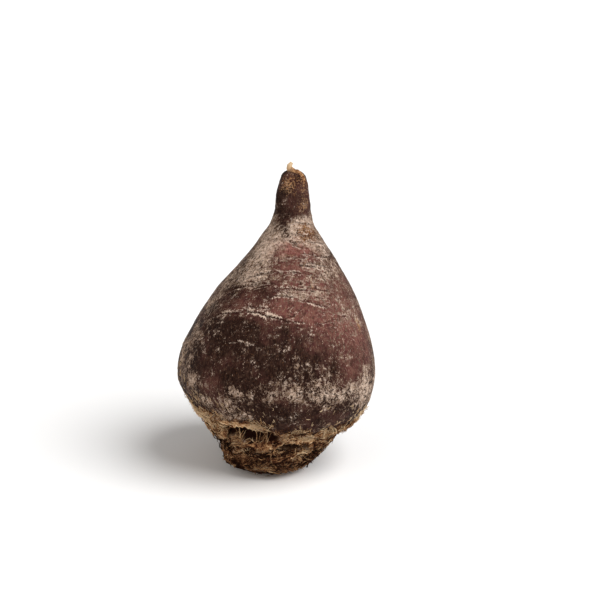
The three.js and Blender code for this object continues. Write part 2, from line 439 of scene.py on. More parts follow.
# ---- materials ----
class Finish:
    """A material's nodes, added one after another around its one shader."""

    def __init__(self, name):
        self.material = bpy.data.materials.new(name)
        self.material.use_nodes = True
        self.tree = self.material.node_tree
        self.shader = self.tree.nodes["Principled BSDF"]

    def add(self, kind, sockets, **settings):
        """A node with these settings, whose sockets take a number, a colour or another node's output."""
        node = self.tree.nodes.new(kind)
        for key, value in settings.items():
            setattr(node, key, value)
        for key, value in sockets.items():
            self.put(value, node.inputs[key])
        return node

    def put(self, value, socket):
        """Joins another node's output to the socket, or sets the socket to a number, a vector or a colour."""
        if isinstance(value, bpy.types.NodeSocket):
            self.tree.links.new(value, socket)
        elif socket.type == "RGBA":
            socket.default_value = (*value, 1.0)
        else:
            socket.default_value = value

    def place(self):
        return self.add("ShaderNodeTexCoord", {}).outputs["Object"]

    def mark(self, name, output="Fac"):
        return self.add("ShaderNodeAttribute", {}, attribute_name=name).outputs[output]

    def stretch(self, vector, scale):
        return self.add("ShaderNodeMapping", {"Vector": vector, "Scale": scale}).outputs["Vector"]

    def noise(self, vector, size, detail, roughness=0.5, distortion=0.0):
        """Noise whose largest features are about size metres."""
        sockets = {"Vector": vector, "Scale": 1 / size, "Detail": detail, "Roughness": roughness}
        sockets["Distortion"] = distortion
        return self.add("ShaderNodeTexNoise", sockets).outputs["Fac"]

    def math(self, operation, first, second=0.0, clamp=False):
        sockets = {0: first, 1: second}
        return self.add("ShaderNodeMath", sockets, operation=operation, use_clamp=clamp).outputs[0]

    def plus(self, first, second, clamp=False):
        return self.math("ADD", first, second, clamp)

    def times(self, first, second):
        return self.math("MULTIPLY", first, second)

    def scale(self, value, start, end, low, high, curve="LINEAR"):
        """low before start and high after end, on a straight line between."""
        sockets = {"Value": value, "From Min": start, "From Max": end, "To Min": low, "To Max": high}
        return self.add("ShaderNodeMapRange", sockets, interpolation_type=curve).outputs["Result"]

    def step(self, value, start, end, low=0.0, high=1.0):
        """The same, smooth between."""
        return self.scale(value, start, end, low, high, "SMOOTHSTEP")

    def blend(self, share, first, second):
        """first where share is 0 and second where it is 1, for numbers."""
        return self.add("ShaderNodeMix", {0: share, 2: first, 3: second}, data_type="FLOAT").outputs[0]

    def mix(self, share, first, second):
        """The same for colours."""
        return self.add("ShaderNodeMix", {0: share, 6: first, 7: second}, data_type="RGBA").outputs[2]

    def bump(self, height, distance):
        sockets = {"Height": height, "Distance": distance, "Strength": 1.0}
        return self.add("ShaderNodeBump", sockets).outputs["Normal"]

    def finish(self, gloss, colour, roughness, normal=None):
        """The material, once its shader has these. gloss is how much the surface mirrors."""
        self.put(gloss, self.shader.inputs["Specular IOR Level"])
        self.put(colour, self.shader.inputs["Base Color"])
        self.put(roughness, self.shader.inputs["Roughness"])
        if normal is not None:
            self.put(normal, self.shader.inputs["Normal"])
        return self.material


SKIN_GLOSS = 0.015
FIBRE_GLOSS = 0.04
FLOOR_GLOSS = 0.1
FLOOR_ROUGHNESS = 0.9
SKIN_BUMP = 0.15 * MM
FIBRE_BUMP = 0.08 * MM
TAIL_BUMP = 0.2 * MM


def skin_finish(colours):
    """Dark purple skin under islands of pale scurf, with root scars, stains and the brown crown."""
    f = Finish("beet_skin")
    place = f.place()
    wrap = f.mark("wrap", "Vector")
    share, ringed = f.mark("scurf"), f.mark("ringed")

    # bare skin: two purples, blotched, with fine dusty streaks along the root
    blotch = f.noise(place, 14 * MM, 5, 0.6)
    mottle = f.noise(place, 2.6 * MM, 6, 0.75)
    # the blush reddens the skin: partly the root's own colour, partly painted light on the lit right shoulder
    redness_and_painted_light = f.plus(f.mark("blush_and_painted_light"), f.scale(blotch, 0.35, 0.65, -0.35, 0.25), clamp=True)
    bare = f.mix(redness_and_painted_light, colours.skin_dark, colours.skin_red)
    streak = f.noise(f.stretch(wrap, (1, 1, 0.4)), 0.6 * MM, 3, 0.7)
    dust = f.plus(f.scale(streak, 0.44, 0.68, 0, 0.5), f.times(f.step(mottle, 0.5, 0.62), 0.14))
    bare = f.mix(dust, bare, f.mix(redness_and_painted_light, colours.skin_dust, colours.cork))
    bare = f.mix(f.step(mottle, 0.5, 0.38, 0, 0.45), bare, colours.skin_shadow)

    # scurf: islands where a grain of many sizes passes a level that falls as the scurf gets denser
    island = f.noise(place, 4.5 * MM, 5, 0.8)
    flecks = f.noise(f.stretch(wrap, (1.5, 1.5, 1)), 1.4 * MM, 4, 0.8)
    rings = f.noise(f.stretch(wrap, (1, 1, 7)), 8 * MM, 6, 0.8)
    even = f.plus(f.times(island, 0.4), f.times(flecks, 0.6))
    lined = f.plus(f.times(flecks, 0.4), f.times(rings, 0.6))
    grain = f.blend(f.times(ringed, 0.85), even, lined)
    over = f.plus(share, f.scale(grain, 0.42, 0.58, -1.0, 0.0))
    film = f.step(over, -0.3, 0.05, 0, 0.24)
    flakes = f.step(over, -0.03, 0.05, 0, 0.92)
    tone = f.noise(place, 1.3 * MM, 6, 0.85)
    bright = f.plus(tone, f.scale(share, 0.4, 1.0, -0.01, 0.06))
    pale = f.mix(f.step(bright, 0.43, 0.54), colours.scurf_shade, colours.scurf_pale)
    pale = f.mix(f.step(bright, 0.53, 0.63, 0, 0.9), pale, colours.scurf_light)
    skin = f.mix(film, bare, colours.cork)
    skin = f.mix(flakes, skin, pale)
    pinhole = f.noise(f.stretch(wrap, (1, 1, 1.3)), 1.5 * MM, 3, 0.7)
    pinhole = f.times(f.step(pinhole, 0.455, 0.405), f.step(share, 0.3, 0.6, 0, 0.9))
    skin = f.mix(pinhole, skin, colours.skin_dark)

    # short pale flecks along the root, more of them where the blush is, which is partly painted light
    prick = f.noise(f.stretch(wrap, (1, 1, 0.55)), 0.5 * MM, 2, 0.6)
    prick = f.plus(prick, f.times(f.mark("blush_and_painted_light"), 0.045))
    prick = f.plus(prick, f.times(f.math("SUBTRACT", share, 0.1, clamp=True), 0.12))
    pricks = f.step(prick, 0.665, 0.71, 0, 0.75)
    skin = f.mix(pricks, skin, pale)

    # stains, scars with their pale lips, and painted shade in scar grooves and wrinkle creases
    spotted = f.noise(place, 0.6 * MM, 4, 0.75)
    bruise = f.mix(f.step(flecks, 0.53, 0.44), colours.pink, colours.skin_red)
    skin = f.mix(f.times(f.mark("pink"), f.step(mottle, 0.42, 0.55, 0.3, 0.9)), skin, bruise)
    rusty = f.plus(f.mark("rust"), f.scale(spotted, 0.4, 0.6, -1.1, -0.1))
    rust = f.mix(f.step(tone, 0.46, 0.58), colours.crown_brown, colours.rust)
    skin = f.mix(f.step(rusty, -0.2, 0.15, 0, 0.95), skin, rust)
    tanned = f.plus(f.mark("tan"), f.scale(spotted, 0.38, 0.62, -1.15, -0.25))
    tan = f.mix(f.step(tone, 0.42, 0.54), rust, colours.crown_tan)
    tan = f.mix(f.step(flecks, 0.52, 0.6), tan, colours.scurf_pale)
    skin = f.mix(f.step(tanned, -0.12, 0.1, 0, 0.7), skin, tan)
    above, scar = f.mark("scar_distance"), f.mark("scar")
    distance = f.plus(f.math("ABSOLUTE", above), f.scale(flecks, 0.4, 0.6, -0.35, 0.35))
    side = f.times(above, f.scale(f.noise(place, 9 * MM, 2), 0.46, 0.54, -1.0, 1.0))
    lip_width = f.scale(scar, 0.3, 1.0, 0.5 * LIP_HALF_WIDTH / MM, 2.6 * LIP_HALF_WIDTH / MM)
    lip = f.math("ABSOLUTE", f.math("SUBTRACT", distance, f.times(scar, LIP_PLACE / MM)))
    lip = f.step(f.math("DIVIDE", lip, lip_width), 1.0, 0.0)
    broken = f.plus(f.scale(tone, 0.42, 0.58, -0.6, 0.05), f.scale(island, 0.4, 0.6, -0.45, 0.15))
    lip = f.times(lip, f.step(side, -0.3, 0.3, 0.45, 1.1))
    lip = f.plus(f.times(lip, scar), broken)
    fresh = f.mix(f.step(tone, 0.45, 0.56), colours.scurf_pale, colours.scurf_light)
    skin = f.mix(f.step(lip, 0.0, 0.3, 0, 0.95), skin, fresh)
    line = f.math("ABSOLUTE", f.mark("wrinkle_line"))
    # painted shade darkens the crease along each wrinkle's groove
    crease_shade = f.times(f.step(line, 1.1, 0.1), f.mark("wrinkled"))
    ledge = f.times(f.step(f.math("ABSOLUTE", f.math("SUBTRACT", line, 2.6)), 1.3, 0.2), f.mark("wrinkled"))
    ledge = f.plus(ledge, f.scale(flecks, 0.42, 0.58, -0.9, -0.15))
    skin = f.mix(f.step(ledge, 0.0, 0.35, 0, 0.8), skin, colours.scurf_pale)
    # painted shade: the dark crack colour along scar grooves and wrinkle creases, broken up by noise
    crack_shade = f.times(f.step(distance, 2.2 * GROOVE_HALF_WIDTH / MM, 0.0), scar)
    crack_shade = f.plus(crack_shade, f.times(broken, 0.5))
    crack_shade = f.math("MAXIMUM", crack_shade, f.plus(crease_shade, f.scale(tone, 0.42, 0.58, -0.4, 0.05)))
    skin = f.mix(f.step(crack_shade, 0.0, 0.6, 0, 0.8), skin, colours.crack_shade)

    # crown: brown fibrous bark, painted shade in its relief's low gaps, painted highlight where it stands out
    weave = f.noise(f.stretch(wrap, (1, 1, 2.4)), 1.7 * MM, 6, 0.8, 0.6)
    torn = f.plus(weave, f.scale(f.mark("raised"), 0.0, 1.0, -0.1, 0.1))
    torn = f.plus(torn, f.times(f.mark("gold"), 0.06))
    bark = f.mix(f.step(torn, 0.42, 0.5), colours.crown_dark, colours.crown_brown)
    bark = f.mix(f.step(torn, 0.5, 0.58), bark, colours.crown_tan)
    bark = f.mix(f.step(f.plus(torn, f.times(share, 0.1)), 0.6, 0.66, 0, 0.8), bark, pale)
    # painted shade: the crack colour fills the crown's dents
    bark = f.mix(f.mark("hollow"), bark, colours.crack_shade)
    over_crown = f.plus(f.mark("crown"), f.scale(flecks, 0.4, 0.6, -1.0, 0.0))
    crown = f.step(over_crown, -0.1, 0.1)
    colour = f.mix(crown, skin, bark)

    rough = f.plus(0.46, f.times(flakes, 0.4))
    rough = f.plus(rough, f.scale(mottle, 0.4, 0.6, -0.05, 0.08))
    rough = f.math("MAXIMUM", rough, f.times(crown, 0.9))

    height = f.plus(f.times(flakes, 0.5), f.times(mottle, 1.2))
    height = f.plus(height, f.times(tone, 1.4))
    height = f.plus(height, f.times(f.times(weave, crown), 4.0))
    return f.finish(SKIN_GLOSS, colour, rough, f.bump(height, SKIN_BUMP))


def fibre_finish(colours):
    """Dry crown fibre, from dark brown to straw, set by each strand's own tone."""
    f = Finish("crown_fibre")
    place = f.place()
    patch = f.scale(f.noise(place, 3 * MM, 6, 0.8), 0.35, 0.65, -0.38, 0.34)
    grain = f.noise(place, 0.35 * MM, 3, 0.6)
    patch = f.plus(patch, f.scale(grain, 0.35, 0.65, -0.22, 0.22))
    tone = f.plus(f.mark("tone"), patch, clamp=True)
    colour = f.mix(f.step(tone, 0.0, 0.4), colours.crown_dark, colours.crown_brown)
    colour = f.mix(f.step(tone, 0.3, 0.7), colour, colours.crown_tan)
    colour = f.mix(f.step(tone, 0.7, 1.0), colour, colours.straw)
    rough = f.scale(grain, 0.3, 0.7, 0.75, 0.95)
    return f.finish(FIBRE_GLOSS, colour, rough, f.bump(grain, FIBRE_BUMP))


def tail_finish(colours):
    """Tan root bark, paler towards the dry tip, with wrinkles across it."""
    f = Finish("tail_bark")
    place = f.place()
    streak = f.noise(place, 0.9 * MM, 5, 0.65)
    colour = f.mix(f.step(streak, 0.4, 0.6), colours.crown_brown, colours.crown_tan)
    colour = f.mix(f.times(f.mark("tip"), 0.9), colour, colours.straw)
    rough = f.scale(streak, 0.3, 0.7, 0.65, 0.9)
    return f.finish(FIBRE_GLOSS, colour, rough, f.bump(streak, TAIL_BUMP))


# ---- what a user may change ----
def count_property(name, description, count, least=1):
    """A whole number that is no smaller than least."""
    return bpy.props.IntProperty(name=name, description=description, default=count, min=least)


def number_property(name, description, number, **kind):
    """A number, whose kind is its unit or subtype."""
    return bpy.props.FloatProperty(name=name, description=description, default=number, **kind)


def length_property(name, description, millimetres):
    """A small length."""
    return number_property(name, description, millimetres * MM, unit="LENGTH", precision=5)


class BeetrootSizes(bpy.types.PropertyGroup):
    """Fineness and depth of the root's detail."""

    columns: count_property("Columns", "Points round the skin", 400, 60)
    rows: count_property("Rows", "Rings of points up the skin", 244, 60)
    unevenness: length_property("Unevenness", "Height of the broad bumps", 0.5)
    wrinkle_depth: length_property("Wrinkle depth", "Depth of the fine rings on the shoulder", 0.22)
    scar_depth: length_property("Scar depth", "Depth of the side-root scars", 0.5)
    ridge_height: length_property("Crown ridges", "Height of the leaf-scar ridges", 1.2)
    torn_depth: length_property("Torn depth", "Height of the crown's torn texture", 0.9)
    fibre_count: count_property("Fibres", "Long strands on the crown", 5000, 12)
    fringe_count: count_property("Fringe", "Strands flat on the skin", 3200)
    fuzz_count: count_property("Fuzz", "Short hairs on the crown", 3000)
    edge_count: count_property("Torn edge", "Mean number of hairs on a stub's edge", 90)
    fibre_length: length_property("Fibre length", "Length of a long strand", 12)
    fibre_radius: length_property("Fibre radius", "Half thickness of a strand", 0.18)
    seed: count_property("Seed", "Start of the random numbers", 7, 0)


def colour_property(name, description, colour):
    """A colour in the scene's linear light."""
    return bpy.props.FloatVectorProperty(
        name=name, description=description, default=colour, subtype="COLOR", size=3, min=0, max=1)


class BeetrootColours(bpy.types.PropertyGroup):
    """Colours of the skin, the scurf, the crown and the stage."""

    # The blush mixes red skin into dark, partly as painted light on the lit right shoulder.
    skin_dark: colour_property("Dark skin", "Clean skin in the shade of the belly", (0.0128, 0.0049, 0.0038))
    skin_red: colour_property("Red skin", "Clean skin where it is reddest", (0.127, 0.042, 0.038))
    skin_dust: colour_property("Dusty skin", "Fine pale streaks on the dark skin", (0.07, 0.038, 0.027))
    skin_shadow: colour_property("Deep skin", "The darkest blotches", (0.006, 0.0026, 0.0018))
    cork: colour_property("Cork", "The thin edges of the scurf", (0.25, 0.15, 0.098))
    scurf_pale: colour_property("Pale scurf", "The palest scurf", (0.47, 0.35, 0.27))
    scurf_shade: colour_property("Grey scurf", "The greyer scurf", (0.22, 0.14, 0.093))
    scurf_light: colour_property("Bright scurf", "The edges of flakes that stand up", (0.74, 0.58, 0.47))
    pink: colour_property("Pink bruise", "Rubbed pink skin on the neck", (0.38, 0.15, 0.12))
    rust: colour_property("Rust stain", "Orange-brown spots on the neck", (0.26, 0.125, 0.045))
    # Crack is painted shade: the near-black put in scar grooves, wrinkle creases and crown dents.
    crack_shade: colour_property("Crack", "The dark inside of cracks and hollows", (0.016, 0.005, 0.003))
    # Dark crown is dark fibre, and also painted shade in the bark's low gaps and low on the crown.
    crown_dark: colour_property("Dark crown", "Gaps between the fibres", (0.014, 0.0045, 0.0022))
    crown_brown: colour_property("Brown crown", "Weathered fibre", (0.11, 0.038, 0.017))
    crown_tan: colour_property("Tan crown", "Fresh torn fibre", (0.42, 0.235, 0.11))
    straw: colour_property("Straw", "Dry fibre ends", (0.64, 0.47, 0.29))
    floor: colour_property("Floor", "The studio floor", (0.92, 0.92, 0.92))
    key_light: colour_property("Key light", "Colour of the key light", (1, 1, 1))
    fill_light: colour_property("Fill light", "Colour of the fill light", (1, 0.9, 0.8))


class BeetrootStage(bpy.types.PropertyGroup):
    """Camera, floor and lights."""

    elevation: number_property(
        "Elevation", "Camera's angle above the floor", math.radians(20), subtype="ANGLE")
    distance: number_property("Distance", "From the camera to the root", 0.9, unit="LENGTH")
    framed_width: number_property(
        "Framed width", "Width that the picture takes in", 0.2303, unit="LENGTH", precision=4)
    key_strength: number_property("Key light", "Strength of the soft key light", 3.45)
    fill_strength: number_property("Fill light", "Strength of the left light", 0.95)
    sky: number_property("Surround", "Light from the white surround", 0.33)


def sizes_and_colours(context):
    return context.scene.beetroot_sizes, context.scene.beetroot_colours


class BEETROOT_OT_skin(bpy.types.Operator):
    """Makes the root's skin: the plain root with scars, wrinkles, dents and the ridged crown."""

    bl_idname = "beetroot.skin"
    bl_label = "Skin"

    def execute(self, context):
        sizes, colours = sizes_and_colours(context)
        along = skin_rows(sizes.rows)
        turn = np.linspace(-math.pi, math.pi, sizes.columns, endpoint=False)
        points, marks = skin_surface(turn, along, sizes)
        foot, rings, end = points[0].mean(axis=0), points[1:-1], points[-1].mean(axis=0)
        flat_marks = {
            mark: np.concatenate([values[1:-1].reshape(-1, *values.shape[2:]), values[:1, 0], values[-1:, 0]])
            for mark, values in marks.items()
        }
        rows, columns = rings.shape[:2]
        total = rows * columns
        here, there = np.arange(columns), np.roll(np.arange(columns), -1)
        foot_fan = np.stack([np.full(columns, total), there, here], axis=-1)
        last = total - columns
        end_fan = np.stack([np.full(columns, total + 1), last + here, last + there], axis=-1)
        faces = ring_quads(rows, columns).tolist() + foot_fan.tolist() + end_fan.tolist()
        everything = np.vstack([rings.reshape(-1, 3), [foot], [end]])
        piece = new_piece("root_skin", everything, faces, flat_marks, skin_finish(colours))
        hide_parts(NODE)
        return {"FINISHED"}


def skin_rows(count):
    """Lengths along the outline for the rings: closer on the crown and the shoulder than on the belly."""
    crown = 1 - smooth_step(HEIGHTS, *CROWN_ROWS_END)
    shoulder = smooth_step(HEIGHTS, *SHOULDER_ROWS_START) * (1 - smooth_step(HEIGHTS, *SHOULDER_ROWS_END))
    weight = 1 + 0.6 * crown + 0.9 * shoulder
    sums = np.concatenate([[0], np.cumsum(0.5 * (weight[1:] + weight[:-1]) * np.diff(ALONG))])
    return np.interp(np.linspace(0, sums[-1], count), sums, ALONG)


def skin_relief(turn, height, sizes):
    """(relief, marks) of the skin: how far it stands off the plain root, and what the finish needs.

    The relief is broad noise, small knobbles, ring-shaped wrinkles where a stretched noise crosses zero, root
    scars with raised lips, ridges and torn texture on the crown, less the dents.
    """
    seed = sizes.seed
    radius = outline_radius(height)
    plain = root_point(turn, height, plain_radius(turn, height, radius))
    wrap = wrap_place(turn, height)
    wobble = (0.55 * noise(plain, 6 * MM, seed + 10), 0.55 * noise(plain, 6 * MM, seed + 20))
    crown = crown_share(turn, height, noise(wrap, 5 * MM, seed + 30, 5, 0.6))
    scars = scar_list(np.random.default_rng(seed))
    scar_distance, scar = scar_lines(turn, height, noise(wrap, 3 * MM, seed + 40, 3), scars)
    rows = np.exp(-((from_row(turn) / ROW_HALF_ANGLE) ** 4))
    shoulder = smooth_step(height, *SHOULDER_START) * (1 - smooth_step(height, *SHOULDER_END))
    lines = noise(wrap, np.array([15, 15, 2.2]) * MM, seed + 50, 2, 0.45) / WRINKLE_HALF_WIDTH
    wrinkled = smooth_step(noise(plain, 7 * MM, seed + 55, 4, 0.6), -0.02, 0.3) * shoulder * rows

    fade = np.minimum(1, radius / FULL_RELIEF_RADIUS)
    relief = fade * sizes.unevenness * noise(plain, 21 * MM, seed + 60, 3)
    relief += fade * KNOBBLE_HEIGHT * noise(plain, 4.5 * MM, seed + 70, 4, 0.6)
    neck = smooth_step(height, *NECK_START)
    relief += neck * NECK_LUMP_HEIGHT * noise(plain, 4 * MM, seed + 80, 3, 0.6)
    relief -= sizes.wrinkle_depth * wrinkled * np.exp(-(lines**2))
    relief += sizes.scar_depth * scar * (0.5 * lip_shape(scar_distance) - groove_shape(scar_distance))
    ridge = 1 - 2 * np.abs(noise(wrap, np.array([15, 15, 4.2]) * MM, seed + 90, 3))
    torn = noise(wrap @ shear(0.5), np.array([2.8, 2.8, 1.3]) * MM, seed + 100, 4, 0.65)
    standing = smooth_step(height, *RIDGES_START)
    relief += crown * (standing * (sizes.ridge_height * ridge + sizes.torn_depth * torn) - FIBRE_ROOM)
    dents = blots(turn, height, wobble, DENTS, 3)
    relief -= MM * dents

    general = np.interp(height / MM, *np.transpose(SCURF_SHARES))
    density = general + 0.5 * noise(plain, 9 * MM, seed + 120, 5, 0.65)
    density += blots(turn, height, wobble, SCURF_BLOTS) - blots(turn, height, wobble, CLEAN_BLOTS)
    marks = {
        "wrap": wrap,
        "scurf": np.clip(density, 0, 1),
        "crown": crown,
        "scar": scar,
        "scar_distance": scar_distance / MM,
        "wrinkled": wrinkled,
        "wrinkle_line": np.clip(lines, -4, 4),
        "ringed": shoulder * rows,
        # the dents' insides, which the finish paints dark as shade
        "hollow": np.clip(dents / 1.6, 0, 1) * crown,
        # the crown's relief height: the finish paints its low gaps as shade and its tops as highlight
        "raised": crown * np.clip(0.5 + 0.35 * ridge + 0.5 * torn, 0, 1),
    }
    for name, places in COLOUR_BLOTS.items():
        marks[name] = np.clip(blots(turn, height, wobble, places), 0, 1)
    return relief, marks


def skin_surface(turn, along, sizes):
    """(points, marks) on a grid: the plain root moved along its outward direction by its relief.

    The outward direction is the cross product of the steps round and up the grid. Under the crown the skin
    is hollowed upward a little by noise, so that it stands on its rim.
    """
    turn, along = np.meshgrid(turn, along)
    height, radius = np.interp(along, ALONG, HEIGHTS), np.interp(along, ALONG, RADII)
    plain = root_point(turn, height, plain_radius(turn, height, radius))
    round_step = np.roll(plain, -1, axis=1) - np.roll(plain, 1, axis=1)
    outward = np.cross(round_step, np.gradient(plain, axis=0))
    outward[0], outward[-1] = (0, 0, -1), (0, 0, 1)
    outward /= np.maximum(np.linalg.norm(outward, axis=-1, keepdims=True), 1e-12)
    relief, marks = skin_relief(turn, height, sizes)
    points = plain + outward * relief[..., None]
    hollow_foot = FOOT_HOLLOW * np.clip(noise(plain, 3.5 * MM, sizes.seed + 110, 4, 0.6) + 0.1, 0, 1)
    under = 1 - smooth_step(height, *FOOT_END)
    points[..., 2] = np.maximum(points[..., 2], under * hollow_foot)
    return points, marks


def shear(amount):
    """A matrix that slants a pattern: its height changes with the way round by amount."""
    matrix = np.eye(3)
    matrix[0, 2] = amount
    return matrix


class BEETROOT_OT_fibres(bpy.types.Operator):
    """Makes the crown's torn fibres: curled strands that lie over it in bundles, and a fringe on the skin."""

    bl_idname = "beetroot.fibres"
    bl_label = "Crown fibres"

    def execute(self, context):
        sizes, colours = sizes_and_colours(context)
        random = np.random.default_rng(sizes.seed + 1)
        groups = crown_bundles(sizes, random), crown_fringe(sizes, random), hollow_tufts(sizes, random)
        strand_piece("crown_fibres", groups, sizes, colours, random)
        return {"FINISHED"}


class BEETROOT_OT_fuzz(bpy.types.Operator):
    """Makes the crown's short hairs, thickest at its upper edge and on the torn edges of the leaf stubs."""

    bl_idname = "beetroot.fuzz"
    bl_label = "Crown fuzz"

    def execute(self, context):
        sizes, colours = sizes_and_colours(context)
        random = np.random.default_rng(sizes.seed + 4)
        groups = crown_fuzz(sizes, random), stub_hairs(sizes, random)
        strand_piece("crown_fuzz", groups, sizes, colours, random)
        return {"FINISHED"}


FIBRE_ROWS = 6
FIBRE_SIDES = 3
FIBRE_TAPER = np.array([0.45, 0.95, 1, 0.95, 0.75, 0.2])
FIBRES_A_BUNDLE = 12
LOWEST_FIBRE = 0.6 * MM  # along the axis
FIBRE_CLEARANCE = 0.35 * MM  # above the floor


def strand_piece(name, groups, sizes, colours, random):
    """One piece of all the strands in the groups. Only strands marked across stay where the crown is bare."""
    for group in groups:
        group.setdefault("across", np.zeros(len(group["turn"]), bool))
    own = {key: np.concatenate([group[key] for group in groups]) for key in groups[0]}
    points, faces, tone = fibre_strands(thinned(own, sizes.seed, random), sizes, random)
    new_piece(name, points, faces, {"tone": tone}, fibre_finish(colours))


def crown_tone(turn, height):
    """Tone of the crown's fibre: dark low down, partly its own colour and partly painted shade where the
    crown turns under, paler near the edge, and golden in the golden blots.
    """
    share = height / crown_edge(turn)
    return 0.14 + 0.44 * smooth_step(share, 0.3, 0.95) + 0.7 * blots(turn, height, (0, 0), GOLD_BLOTS)


def thinned(own, seed, random):
    """The strands that are left where noise on the skin thins the crown's growth, mostly near its edge."""
    place = wrap_place(own["turn"], own["height"])
    share = own["height"] / crown_edge(own["turn"])
    level = 0.5 + 2.6 * noise(place, 4 * MM, seed + 140, 4, 0.65) - 0.4 * smooth_step(share, 0.75, 1.2)
    kept = own["across"] | (level > random.uniform(0, 0.7, len(share)))
    return {name: values[kept] for name, values in own.items()}


def crown_bundles(sizes, random):
    """The strands that lie in bundles on the crown, as a dict with one value a strand.

    A bundle has a place, a slant, a curl and a tone of its own, and its strands stray a little from them.
    Bundles lie level low on the crown and lean more steeply near its edge.
    """
    bundles = sizes.fibre_count // FIBRES_A_BUNDLE
    turn = random.uniform(-math.pi, math.pi, bundles)
    share = random.uniform(0.02, 1.08, bundles) ** 0.85
    slant = random.normal(-0.05, 0.22, bundles)
    slant -= smooth_step(share, 0.55, 1.1) * random.uniform(0, 1.3, bundles)
    steep = random.random(bundles) < 0.1
    slant = np.where(steep, random.normal(-1.2, 0.4, bundles), slant)
    way = np.where(random.random(bundles) < 0.6, 1, -1)
    shade = np.where(random.random(bundles) < 0.5, -0.36, 0.24) + random.normal(0, 0.14, bundles)
    own = {"turn": turn, "share": share, "slant": slant, "way": way, "shade": shade}
    own["curl"] = random.normal(0, 0.8, bundles)
    own["depth"] = random.uniform(0, 1, bundles) ** 1.5
    own["reach"] = random.uniform(0.35, 1, bundles)
    each = {name: np.repeat(values, FIBRES_A_BUNDLE) for name, values in own.items()}
    count = bundles * FIBRES_A_BUNDLE
    height = each["share"] * crown_edge(each["turn"]) + random.normal(0, 0.45, count) * MM
    start = each["turn"] + random.normal(0, 1.2, count) * MM / outline_radius(height)
    return {
        "turn": start,
        "height": height,
        "slant": each["slant"] + random.normal(0, 0.16, count),
        "way": each["way"],
        "length": sizes.fibre_length * each["reach"] * random.uniform(0.35, 1, count),
        "curl": each["curl"] + random.normal(0, 0.6, count),
        "lift": (0.05 + 0.5 * each["depth"] + random.uniform(0, 0.3, count)) * MM,
        "fray": (random.random(count) < 0.14) * random.uniform(0.3, 1.5, count) * MM,
        "radius": sizes.fibre_radius * random.uniform(0.5, 1.5, count),
        "tone": crown_tone(start, height) + each["shade"] + random.normal(0, 0.1, count),
    }


# Roots of the tufts in the front hollow: turn in degrees and height in millimetres.
TUFTS = [(-15, 13), (-18, 13.6), (-11, 13.6), (-36, 15.4)]
TUFT_STRANDS = 8


def hollow_tufts(sizes, random):
    """The same for tufts that fan upward across the front hollow and stand off it."""
    places = np.repeat(np.array(TUFTS), TUFT_STRANDS, axis=0)
    count = len(places)
    return {
        "turn": np.radians(places[:, 0] + random.normal(0, 2.0, count)),
        "height": (places[:, 1] + random.normal(0, 0.4, count)) * MM,
        "slant": random.normal(math.pi / 2 + 0.3, 0.65, count),
        "way": np.ones(count),
        "length": random.uniform(1.5, 5, count) * MM,
        "curl": random.normal(0, 0.8, count),
        "lift": random.uniform(0.1, 0.6, count) * MM,
        "fray": random.uniform(0.2, 1.8, count) * MM,
        "radius": sizes.fibre_radius * random.uniform(0.5, 1.0, count),
        "tone": random.normal(0.68, 0.15, count),
        "across": np.ones(count, bool),
    }


def crown_fringe(sizes, random):
    """The same for fine strands that lie flat on the skin above the crown, mostly along the root."""
    count = sizes.fringe_count
    turn = random.uniform(-math.pi, math.pi, count)
    side = 0.6 + 1.3 * np.sin(turn) ** 2
    return {
        "turn": turn,
        "height": crown_edge(turn) + (random.exponential(3, count) * side - 1) * MM,
        "slant": random.normal(-1.2, 0.4, count),
        "way": np.where(turn_between(turn, 0.3) > 0, -1, 1),
        "length": random.uniform(0.4, 2.4, count) * MM,
        "curl": random.normal(0, 0.8, count),
        "lift": random.uniform(0.0, 0.06, count) * MM,
        "fray": (random.random(count) < 0.04) * random.uniform(0.2, 0.6, count) * MM,
        "radius": sizes.fibre_radius * random.uniform(0.4, 0.9, count),
        "tone": random.normal(1.1, 0.15, count),
    }


def crown_fuzz(sizes, random):
    """The same for short hairs that point every way, most of them along the crown's upper edge."""
    count = sizes.fuzz_count
    turn = random.uniform(-math.pi, math.pi, count)
    near_edge = random.random(count) < 0.75
    share = np.where(near_edge, random.normal(0.95, 0.12, count), random.uniform(0.1, 1, count))
    height = np.maximum(share, 0.03) * crown_edge(turn)
    return {
        "turn": turn,
        "height": height,
        "slant": random.uniform(-math.pi, math.pi, count),
        "way": np.ones(count),
        "length": random.uniform(0.7, 2.4, count) * MM,
        "curl": random.normal(0, 1.5, count),
        "lift": random.uniform(0.0, 0.5, count) * MM,
        "fray": random.uniform(0.0, 0.8, count) * MM,
        "radius": sizes.fibre_radius * random.uniform(0.35, 0.7, count),
        "tone": crown_tone(turn, height) + random.normal(0.08, 0.15, count),
    }


def stub_hairs(sizes, random):
    """The same for hairs that hang from the torn edges of the leaf stubs."""
    stubs = stub_places(sizes)
    count = len(stubs) * sizes.edge_count
    weight = stubs[:, 2] * smooth_step(stubs[:, 1], 5 * MM, 13 * MM)
    pick = random.choice(len(stubs), count, p=weight / weight.sum())
    u = random.uniform(-0.95, 0.95, count)
    turn, height, lift = stub_edge(stubs[pick].T, u)
    return {
        "turn": turn,
        "height": height + stubs[pick, 3] * random.uniform(0, 1.1, count) ** 1.5,
        "slant": random.uniform(-math.pi, 0.4 * math.pi, count),
        "way": np.where(random.random(count) < 0.5, 1, -1),
        "length": random.uniform(0.7, 2.6, count) * MM,
        "curl": random.normal(0, 1.5, count),
        "lift": np.maximum(lift * random.uniform(0.6, 1.15, count), 0),
        "fray": random.uniform(-0.5, 0.9, count) * MM,
        "radius": sizes.fibre_radius * random.uniform(0.4, 0.8, count),
        "tone": crown_tone(turn, height) + random.normal(0.15, 0.15, count),
    }


